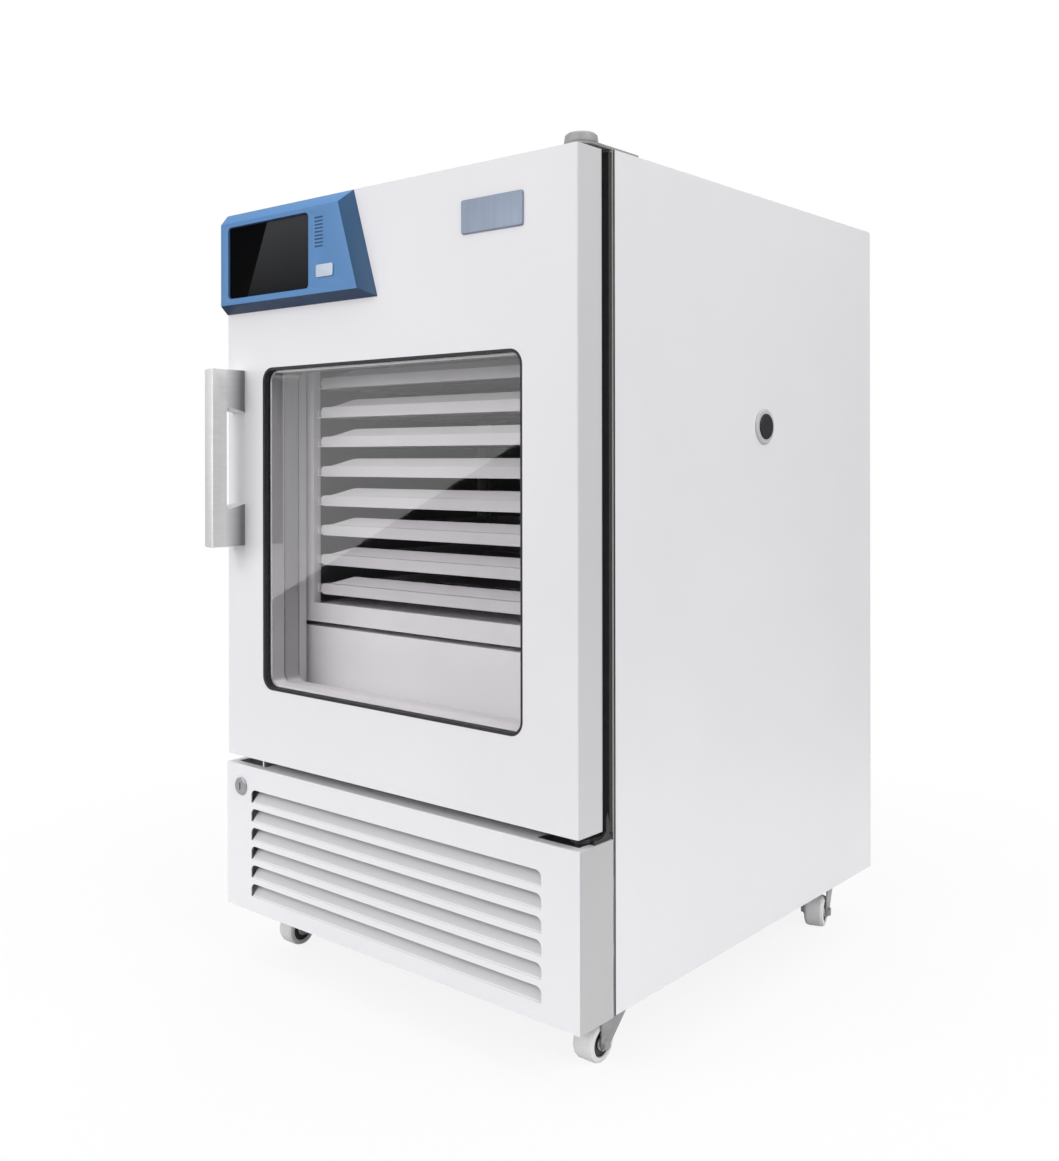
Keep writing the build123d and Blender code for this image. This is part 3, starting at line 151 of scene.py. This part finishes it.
def shader_mix(tree, factor, first, second, target):
    mix = tree.nodes.new("ShaderNodeMixShader")
    tree.links.new(factor, mix.inputs["Fac"])
    tree.links.new(first, mix.inputs[1])
    tree.links.new(second, mix.inputs[2])
    tree.links.new(mix.outputs["Shader"], target)


def toned(mat, tone, *masks):
    """Multiply the colour by a tone where every mask is 1; a mask is (output, axis, start, end)."""
    tree, shader, source = base_color_of(mat)
    factor = None
    for output, axis, start, end in masks:
        one = span(tree, object_axis(tree, output, axis), start, end)
        factor = one if factor is None else times(tree, factor, one)
    color_over(tree, shader, source, factor, tone, "MULTIPLY")


# ---- materials -----------------------------------------------------------------------------
WEAR_SCALE, WEAR = 2.7, 0.06            # the gloss's pattern against the tone's, and its reach
RELIEF_DEPTH = 0.0004
FINISH_IOR = 1.45


def finish_material(name, color, rough, metal=0.0, vary=0.03, scale=30.0, grain=900.0, bump=0.05,
                    stretch=(1, 1, 1)):
    """Colour, roughness and relief each from noise: cloudy tone, wear in the gloss, fine grain."""
    mat, tree, shader = new_material(name)
    dark, light = [tuple(min(1.0, c * k) for c in color) for k in (1 - vary, 1 + vary)]
    cloud = noise(tree, scale, stretch, 3.0)
    tone = ramp(tree, cloud.outputs["Fac"], dark, light)
    tree.links.new(tone.outputs["Color"], shader.inputs["Base Color"])
    wear = noise(tree, scale * WEAR_SCALE, stretch, 3.0)
    tree.links.new(span(tree, wear.outputs["Fac"], 0.0, 1.0, rough - WEAR, min(1.0, rough + WEAR)),
                   shader.inputs["Roughness"])
    fine = noise(tree, grain, stretch)
    relief = tree.nodes.new("ShaderNodeBump")
    relief.inputs["Strength"].default_value = bump
    relief.inputs["Distance"].default_value = RELIEF_DEPTH
    tree.links.new(fine.outputs["Fac"], relief.inputs["Height"])
    tree.links.new(relief.outputs["Normal"], shader.inputs["Normal"])
    shader.inputs["Metallic"].default_value = metal
    shader.inputs["IOR"].default_value = FINISH_IOR
    return mat


WHITE = (0.735, 0.725, 0.75)
M = {
    "paint": finish_material("white_powder_coat", WHITE, 0.42, vary=0.012, scale=5.0, grain=1400, bump=0.05),
    "door": finish_material("white_door_paint", WHITE, 0.40, vary=0.012, scale=5.0, grain=1400, bump=0.05),
    "cover": finish_material("white_cover_paint", WHITE, 0.42, vary=0.012, scale=5.0, grain=1400, bump=0.05),
    "steel": finish_material("liner_brushed_steel", (0.30, 0.295, 0.305), 0.42, metal=0.6, vary=0.04,
                             scale=60, grain=500, bump=0.04, stretch=(1, 1, 14)),
    "foam": finish_material("rigid_foam", (0.82, 0.74, 0.50), 0.95, vary=0.06, scale=90, grain=700, bump=0.4),
    "black": finish_material("black_moulded_plastic", (0.032, 0.032, 0.034), 0.48, vary=0.10, scale=60,
                             grain=1500, bump=0.12),
    "rubber": finish_material("black_rubber", (0.016, 0.016, 0.017), 0.62, vary=0.12, scale=80, grain=1200,
                              bump=0.15),
    "black_paint": finish_material("black_enamel", (0.018, 0.018, 0.02), 0.28, vary=0.08, scale=40, grain=900,
                                   bump=0.06),
    "zinc": finish_material("zinc_plated_steel", (0.42, 0.42, 0.43), 0.40, metal=0.75, vary=0.10, scale=70,
                            grain=500, bump=0.10),
    "alu": finish_material("satin_aluminium", (0.80, 0.80, 0.80), 0.40, metal=0.35, vary=0.03, scale=40,
                           grain=900, bump=0.08, stretch=(1, 1, 8)),
    "fins": finish_material("aluminium_fins", (0.60, 0.61, 0.62), 0.40, metal=0.8, vary=0.06, scale=50,
                            grain=600, bump=0.10, stretch=(8, 1, 1)),
    "blue": finish_material("blue_moulded_plastic", (0.068, 0.205, 0.445), 0.50, vary=0.02, scale=25,
                            grain=1800, bump=0.08),
    "grey": finish_material("light_grey_plastic", (0.50, 0.50, 0.51), 0.45, vary=0.03, scale=40, grain=1500,
                            bump=0.08),
    "hinge_grey": finish_material("grey_painted_hinge", (0.30, 0.30, 0.30), 0.45, vary=0.05, scale=50,
                                  grain=900, bump=0.08),
    "flap": finish_material("bluish_flap_plastic", (0.50, 0.56, 0.66), 0.45, vary=0.02, scale=40, grain=1500,
                            bump=0.06),
    "tray": finish_material("pale_tray_plastic", (0.66, 0.64, 0.665), 0.48, vary=0.02, scale=30, grain=1300,
                            bump=0.07),
    "rack": finish_material("rack_powder_coat", (0.84, 0.82, 0.845), 0.46, vary=0.02, scale=30, grain=1200,
                            bump=0.06),
    "base_white": finish_material("agitator_base_paint", (0.92, 0.90, 0.92), 0.44, vary=0.015, scale=12,
                                  grain=1300, bump=0.05),
    "inner_plastic": finish_material("door_liner_plastic", (0.84, 0.82, 0.85), 0.45, vary=0.02, scale=25,
                                     grain=1300, bump=0.06),
    "bronze": finish_material("sintered_bronze", (0.42, 0.27, 0.13), 0.45, metal=0.9, vary=0.08, scale=90,
                              grain=900, bump=0.10),
    "lamp": finish_material("lamp_diffuser", (0.70, 0.69, 0.71), 0.50, vary=0.01, scale=20, grain=1200,
                            bump=0.04),
    "dark_hinge": finish_material("dark_painted_hinge", (0.032, 0.032, 0.034), 0.45, vary=0.06, scale=50,
                                  grain=900, bump=0.08),
    "badge": finish_material("bare_satin_plate", (0.24, 0.29, 0.38), 0.42, metal=0.15, vary=0.05, scale=20,
                             grain=900, bump=0.06, stretch=(10, 1, 1)),
}


OUTER_PANE_GLOSS, INNER_PANE_GLOSS = 0.80, 0.06
PANE_BLEND = 0.002                      # the gloss changes this far to each side of the middle
GLASS_IOR = 1.45


def glass_material():
    """Clear panes: both pass light, and the outer one reflects on the face that the ray enters by."""
    mat, tree, shader = new_material("window_pane")
    lo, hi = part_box("window_glass")
    middle = (lo.y + hi.y) / 2
    clear = tree.nodes.new("ShaderNodeBsdfTransparent")
    clear.inputs["Color"].default_value = (0.989, 0.988, 0.989, 1.0)
    gloss = tree.nodes.new("ShaderNodeBsdfGlossy")
    gloss.inputs["Roughness"].default_value = 0.015
    smear = noise(tree, 6.0)
    haze = ramp(tree, smear.outputs["Fac"], (0.95, 0.95, 0.96), (1.0, 1.0, 1.0))
    tree.links.new(haze.outputs["Color"], gloss.inputs["Color"])
    rim = tree.nodes.new("ShaderNodeFresnel")
    rim.inputs["IOR"].default_value = GLASS_IOR
    geo = tree.nodes.new("ShaderNodeNewGeometry")
    front = span(tree, geo.outputs["Backfacing"], 0.0, 1.0, 1.0, 0.0)
    outer = span(tree, object_axis(tree, "Object", "Y"), middle - PANE_BLEND, middle + PANE_BLEND,
                 OUTER_PANE_GLOSS, INNER_PANE_GLOSS)
    share = times(tree, times(tree, rim.outputs["Fac"], front), outer)
    shader_mix(tree, share, clear.outputs["BSDF"], gloss.outputs["BSDF"],
               node_of(tree, "OUTPUT_MATERIAL").inputs["Surface"])
    tree.nodes.remove(shader)
    return mat


SHEEN_TILT = math.radians(24.3)         # the painted reflection's edge against the upright
SHEEN_START, SHEEN_EDGE = 0.037, 0.0008
SCREEN_IOR, SCREEN_SPECULAR = 1.18, 0.04


def screen_material():
    """Black display glass with a painted grey reflection right of a slanting line, growing upwards."""
    mat, tree, shader = new_material("display_glass")
    lo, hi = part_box("display_screen")
    coord = tree.nodes.new("ShaderNodeTexCoord")
    mapping = tree.nodes.new("ShaderNodeMapping")
    mapping.inputs["Location"].default_value = (-lo.x, 0, -lo.z)
    tree.links.new(coord.outputs["Object"], mapping.inputs["Vector"])
    turn = tree.nodes.new("ShaderNodeVectorRotate")
    turn.rotation_type = "Y_AXIS"
    turn.inputs["Angle"].default_value = -SHEEN_TILT
    tree.links.new(mapping.outputs["Vector"], turn.inputs["Vector"])
    split = tree.nodes.new("ShaderNodeSeparateXYZ")
    tree.links.new(turn.outputs["Vector"], split.inputs["Vector"])
    step = span(tree, split.outputs["X"], SHEEN_START, SHEEN_START + SHEEN_EDGE)
    sheen_noise = noise(tree, 9.0)
    rise = span(tree, object_axis(tree, "Object", "Z"), lo.z, hi.z, 0.25, 1.0)
    drift = span(tree, sheen_noise.outputs["Fac"], 0.0, 1.0, 0.85, 1.15)
    level = times(tree, step, times(tree, rise, drift))
    tone = ramp(tree, level, (0.002, 0.002, 0.0025), (0.044, 0.045, 0.047), 0.0, 1.0)
    tree.links.new(tone.outputs["Color"], shader.inputs["Base Color"])
    shader.inputs["IOR"].default_value = SCREEN_IOR
    shader.inputs["Specular IOR Level"].default_value = SCREEN_SPECULAR
    film = noise(tree, 60.0)
    tree.links.new(span(tree, film.outputs["Fac"], 0.0, 1.0, 0.10, 0.20), shader.inputs["Roughness"])
    return mat


WHEEL_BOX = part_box("wheel_front_left")
WHEEL_HALF = (WHEEL_BOX[1].x - WHEEL_BOX[0].x) / 2
DISH_DEPTH, DISH_START = 0.0022, 0.0008     # how far in from the wheel's side its dish carries painted shade, and where the shade fades
DISH_R, DISH_RIM = 0.0185, 0.001
DISH_SHADE_COLOR = (0.05, 0.05, 0.05)


def wheel_material(name, turn):
    """White nylon whose dished faces, seen along the axle, are darkened with painted shade."""
    mat = finish_material(name + "_nylon", (0.72, 0.72, 0.715), 0.38, vary=0.03, scale=50, grain=1200,
                          bump=0.06)
    tree, shader, source = base_color_of(mat)
    lo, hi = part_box(name)
    coord = tree.nodes.new("ShaderNodeTexCoord")
    shift = vector_math(tree, "SUBTRACT", coord.outputs["Object"], (lo + hi) / 2).outputs["Vector"]
    axle = (math.cos(turn), math.sin(turn), 0.0)
    far = math_node(tree, "ABSOLUTE", vector_math(tree, "DOT_PRODUCT", shift, axle).outputs["Value"])
    reach = vector_math(tree, "LENGTH", shift).outputs["Value"]
    inside = span(tree, far, WHEEL_HALF - DISH_DEPTH, WHEEL_HALF - DISH_START, 1.0, 0.0)
    hollow = span(tree, reach, DISH_R, DISH_R + DISH_RIM, 1.0, 0.0)
    # painted shade in the wheel's dish
    color_over(tree, shader, source, times(tree, inside, hollow), DISH_SHADE_COLOR)
    return mat


M["glass"] = glass_material()
M["screen"] = screen_material()

# node: material
FINISH = {
    "outer_shell": "paint", "rear_panel": "paint", "inner_liner": "steel", "insulation_foam": "foam",
    "front_frame": "black", "chassis": "zinc", "louvre_panel": "cover", "top_hinge": "hinge_grey",
    "bottom_hinge": "dark_hinge", "caster_plates": "zinc", "compressor": "black_paint",
    "condenser": "fins", "evaporator": "fins", "duct_cover": "steel", "led_strip": "lamp",
    "electronics_box": "zinc", "power_inlet": "black", "port_sleeve": "grey",
    "agitator_base": "base_white", "agitator_feet": "rubber", "guide_rods": "zinc",
    "agitator_motor": "black_paint", "door_skin": "door", "door_core": "foam",
    "door_inner_panel": "inner_plastic", "window_seal": "rubber", "glass_spacer": "inner_plastic",
    "window_glass": "glass", "door_gasket": "rubber", "hinge_bushings": "bronze", "handle": "alu",
    "control_housing": "blue", "display_screen": "screen", "badge_plate": "badge", "port_flap": "flap",
    "lock_cylinder": "zinc", "port_plug": "rubber", "carriage_base": "rack", "carriage_frame": "rack",
    "linear_bearings": "alu", "crank_disc": "zinc", "connecting_rod": "alu", "condenser_fan": "black",
    "circulation_fan": "black",
}
TURNED_CASTER, CASTER_TURN = "wheel_rear_right", math.radians(16)     # one caster stands askew at rest
for name in NODES:
    if name.startswith("tray_"):
        FINISH[name] = "tray"
    elif name.startswith("fork_"):
        FINISH[name] = "zinc"
    elif name.startswith("wheel_"):
        M[name] = wheel_material(name, CASTER_TURN if name == TURNED_CASTER else 0.0)
        FINISH[name] = name

# Painted shade, with some grime at the shell's seam: the colour darkened by the way a face points and by its
# depth behind a named front.
HOUSING_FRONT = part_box("control_housing")[0].y
SHELL_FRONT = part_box("outer_shell")[0].y


def depth(front, start, end):
    return "Object", "Y", front + start, front + end


RIGHT_SIDE, NOT_SIDE = ("Normal", "X", 0.6, 0.95), ("Normal", "X", 0.5, 0.3)
TO_RIGHT = ("Normal", "X", 0.6, 0.9)
# painted shade on the right-facing sides of the door and of the lower panel
toned(M["door"], (0.77, 0.77, 0.76), RIGHT_SIDE)
toned(M["cover"], (0.64, 0.64, 0.63), RIGHT_SIDE)
# painted shade on the louvre blades, behind the lower panel's sheet
toned(M["cover"], (0.78, 0.78, 0.78), NOT_SIDE, depth(DOOR_FRONT, 0.0018, 0.0028))
# painted shade on the housing's right bevel, its lower bevel, and the floor of its grooves
toned(M["blue"], (0.24, 0.34, 0.36), ("Normal", "X", 0.25, 0.5))
toned(M["blue"], (0.10, 0.17, 0.22), ("Normal", "Z", -0.3, -0.5))
toned(M["blue"], (0.30, 0.36, 0.42), depth(HOUSING_FRONT, 0.0004, 0.0007), ("Normal", "Y", -0.97, -0.99))
# painted shade on the handle's feet, darker towards the door
toned(M["alu"], (0.22, 0.22, 0.23), TO_RIGHT, depth(DOOR_FRONT, -0.032, -0.006))
# painted shade on the window's reveal: the side that faces right, and its ceiling
toned(M["inner_plastic"], (0.50, 0.50, 0.50), TO_RIGHT)
toned(M["inner_plastic"], (0.12, 0.12, 0.12), ("Normal", "Z", -0.6, -0.9))
# painted contact shadow, with some grime, along the seam at the shell's front edge
toned(M["paint"], (0.02, 0.02, 0.02), RIGHT_SIDE, depth(SHELL_FRONT, 0.0032, 0.0024))

for name, node in NODES.items():
    node.data.materials.clear()
    node.data.materials.append(M[FINISH[name]])


# ---- softened pieces -----------------------------------------------------------------------
WELD = 1e-6                             # corners closer than this are one
FLAT, SHARP = math.radians(1.0), math.radians(28)     # edges under FLAT go, edges over SHARP are rounded


def softened(name, width, segments):
    """Stand-in for a CAD node with the same shape, its sharp edges rounded by a bevel."""
    work = bmesh.new()
    work.from_mesh(NODES[name].data)
    bmesh.ops.remove_doubles(work, verts=work.verts, dist=WELD)
    bmesh.ops.dissolve_limit(work, angle_limit=FLAT, verts=work.verts, edges=work.edges)
    mesh = bpy.data.meshes.new(name + "_soft")
    work.to_mesh(mesh)
    work.free()
    mesh.materials.append(M[FINISH[name]])
    piece = bpy.data.objects.new(name + "_soft", mesh)
    bpy.context.scene.collection.objects.link(piece)
    bevel = piece.modifiers.new("edge_rounding", "BEVEL")
    bevel.width = width
    bevel.segments = segments
    bevel.limit_method = "ANGLE"
    bevel.angle_limit = SHARP
    bevel.use_clamp_overlap = True
    bevel.harden_normals = True
    for face in mesh.polygons:
        face.use_smooth = True
    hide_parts(name)
    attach(piece, BODY_OF[name])


# node: the bevel's width and segments
SOFT_EDGES = {"handle": (0.0012, 3), "control_housing": (0.0007, 2), "top_hinge": (0.0008, 2),
              "badge_plate": (0.0004, 2), "port_flap": (0.0003, 2)}
for name, (width, segments) in SOFT_EDGES.items():
    softened(name, width, segments)


# ---- stage, light and camera ---------------------------------------------------------------
FLOOR_R, FLOOR_CLEAR = 1.35, 0.55       # the floor's edge, and where it starts to fade to white
FADE_RIM = 0.1                          # plain white this far in from the edge
FLOOR_WHITE = 0.87                      # share of plain white that the camera sees near the object
FLOOR_GREY = 0.72
CLEAR_WHITE = (1, 1, 1, 1)


def stage_material(name, color):
    """Pale ground that keeps the shadow near the object and fades to plain white at its edge."""
    mat, tree, shader = new_material(name)
    shader.inputs["Base Color"].default_value = (*color, 1.0)
    shader.inputs["Roughness"].default_value = 0.95
    glow = tree.nodes.new("ShaderNodeEmission")
    glow.inputs["Color"].default_value = CLEAR_WHITE
    glow.inputs["Strength"].default_value = 1.0
    coord = tree.nodes.new("ShaderNodeTexCoord")
    reach = vector_math(tree, "LENGTH", coord.outputs["Object"]).outputs["Value"]
    fade = span(tree, reach, FLOOR_CLEAR, FLOOR_R - FADE_RIM, FLOOR_WHITE, 1.0)
    path = tree.nodes.new("ShaderNodeLightPath")
    shader_mix(tree, times(tree, path.outputs["Is Camera Ray"], fade), shader.outputs["BSDF"],
               glow.outputs["Emission"], node_of(tree, "OUTPUT_MATERIAL").inputs["Surface"])
    return mat


def disc(name, radius, mat, steps=96):
    mesh = bpy.data.meshes.new(name)
    turns = [2 * math.pi * k / steps for k in range(steps)]
    ring = [(radius * math.cos(a), radius * math.sin(a), 0.0) for a in turns]
    mesh.from_pydata(ring, [], [tuple(range(steps))])
    mesh.materials.append(mat)
    obj = bpy.data.objects.new(name, mesh)
    bpy.context.scene.collection.objects.link(obj)
    return obj


disc("floor", FLOOR_R, stage_material("studio_floor", (FLOOR_GREY,) * 3))


def area_light(name, place, target, size, power):
    data = bpy.data.lights.new(name, "AREA")
    data.shape = "RECTANGLE"
    data.size, data.size_y = size
    data.energy = power
    lamp = bpy.data.objects.new(name, data)
    lamp.location = place
    aim = Vector(target) - Vector(place)
    lamp.rotation_euler = aim.to_track_quat("-Z", "Y").to_euler()
    bpy.context.scene.collection.objects.link(lamp)
    return lamp


# name, place, target, size, watts
area_light("key_front", (-0.7, -3.2, 2.2), (0, -0.2, 0.55), (2.2, 2.2), 62.0)
area_light("fill_right", (3.2, -0.3, 2.4), (0.3, 0.1, 0.75), (2.4, 2.4), 82.0)
area_light("fill_back", (-2.6, 2.8, 2.2), (0.0, 0.1, 0.5), (2.4, 2.4), 36.0)
area_light("top_soft", (0.0, 0.2, 3.4), (0, 0.1, 0.6), (2.6, 2.6), 20.0)

# tall softbox to the left, whose lower edge is the slanting line that the window mirrors
EDGE_LOW, EDGE_HIGH = Vector((-3.69, -3.0, -0.017)), Vector((-2.076, -3.0, 0.744))
BOX_H, BOX_SPARE = 1.35, 0.45           # its height, and how far it runs on past the line's ends
along = (EDGE_HIGH - EDGE_LOW).normalized()
up = Vector((-along.z, 0.0, along.x))
box_w = (EDGE_HIGH - EDGE_LOW).length + 2 * BOX_SPARE
softbox = area_light("window_softbox", (EDGE_LOW + EDGE_HIGH) / 2 + up * BOX_H / 2, (0, 0, 0),
                     (box_w, BOX_H), 36.0)
softbox.rotation_euler = Matrix((along, up, along.cross(up))).transposed().to_euler()

# light that dims below the horizon, and plain white for what is seen directly or through glass
LOW_Z, HIGH_Z, LOW_LIGHT, HIGH_LIGHT = -0.02, 0.25, 0.10, 0.62
world = bpy.data.worlds.new("studio")
bpy.context.scene.world = world
world.use_nodes = True
wt = world.node_tree
ambient = node_of(wt, "BACKGROUND")
plain = wt.nodes.new("ShaderNodeBackground")
for sky in (ambient, plain):
    sky.inputs["Color"].default_value = CLEAR_WHITE
plain.inputs["Strength"].default_value = 1.0
heading = object_axis(wt, "Generated", "Z")
wt.links.new(span(wt, heading, LOW_Z, HIGH_Z, LOW_LIGHT, HIGH_LIGHT), ambient.inputs["Strength"])
wpath = wt.nodes.new("ShaderNodeLightPath")
seen = math_node(wt, "MAXIMUM", wpath.outputs["Is Camera Ray"], wpath.outputs["Is Transmission Ray"])
shader_mix(wt, seen, ambient.outputs["Background"], plain.outputs["Background"],
           node_of(wt, "OUTPUT_WORLD").inputs["Surface"])

# camera solved from the photograph's straight edges: level, with the frame shifted down
FOCAL_PX, IMAGE_W, IMAGE_H = 1222.0, 1059.0, 1161.0
HORIZON_PX = 459.84
YAW, ROLL = math.radians(40.244), math.radians(0.087)
SENSOR_MM = 36.0
cam_data = bpy.data.cameras.new("camera")
cam = bpy.data.objects.new("camera", cam_data)
cam_data.sensor_fit = "HORIZONTAL"
cam_data.sensor_width = SENSOR_MM
cam_data.lens = FOCAL_PX / IMAGE_W * SENSOR_MM
cam_data.shift_y = -(IMAGE_H / 2 - HORIZON_PX) / IMAGE_W
cam.location = pt(1079.95, -998.76, BASE + 598.03)
cam.rotation_euler = (math.radians(90), ROLL, YAW)
bpy.context.scene.collection.objects.link(cam)
bpy.context.scene.camera = cam

bpy.context.scene.view_settings.view_transform = "Standard"
